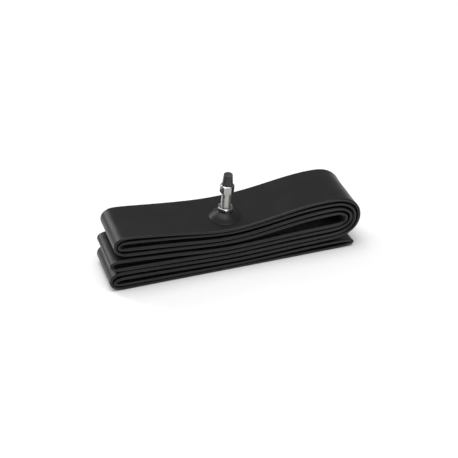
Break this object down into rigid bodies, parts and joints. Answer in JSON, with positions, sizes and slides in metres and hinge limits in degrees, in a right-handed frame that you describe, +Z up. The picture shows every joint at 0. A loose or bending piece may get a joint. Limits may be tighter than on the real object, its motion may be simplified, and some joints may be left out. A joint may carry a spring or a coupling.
{
  "type": "bicycle inner tube",
  "caption": "Butyl bicycle inner tube folded flat into a hank, with a leaning threaded valve, nuts, removable valve core and black dust cap.",
  "frame": {"origin": "bottom centre of the whole object's box, on the surface that the folded tube lies on", "axes": "+X along the folded stack, towards its open rounded end; +Y across the flattened tube, away from the edge that the valve stands nearer to; +Z up"},
  "size_m": [0.21, 0.046, 0.079],
  "materials": {
    "butyl": "satin",
    "plated_brass": "polished nickel plate",
    "bare_brass": "machined",
    "seal_rubber": "matte",
    "cap_plastic": "moulded"
  },
  "bodies": {
    "root": {"tube": "butyl", "valve_boot": "butyl", "valve_stem": "plated_brass"},
    "rim_nut": {"rim_nut": "plated_brass"},
    "core": {"core_body": "bare_brass", "core_seal": "seal_rubber", "core_cage": "bare_brass"},
    "plunger": {"core_plunger": "bare_brass", "plunger_ring": "seal_rubber"},
    "union_nut": {"union_nut": "plated_brass"},
    "dust_cap": {"dust_cap": "cap_plastic"}
  },
  "joints": [
    {"name": "rim_nut_run", "type": "slide", "parent": "root", "child": "rim_nut", "axis": [0.0424, -0.105, 0.9936], "range_m": [0, 0.0125]},
    {"name": "core_lift", "type": "slide", "parent": "root", "child": "core", "axis": [0.0424, -0.105, 0.9936], "range_m": [0, 0.016]},
    {"name": "union_nut_turn", "type": "hinge", "parent": "core", "child": "union_nut", "pos_m": [-0.00491, -0.00771, 0.0655], "axis": [0.0424, -0.105, 0.9936], "continuous": true},
    {"name": "cap_lift", "type": "slide", "parent": "core", "child": "dust_cap", "axis": [0.0424, -0.105, 0.9936], "range_m": [0, 0.009]},
    {"name": "check_valve", "type": "slide", "parent": "core", "child": "plunger", "axis": [0.0424, -0.105, 0.9936], "range_m": [0, 0.0008]}
  ]
}
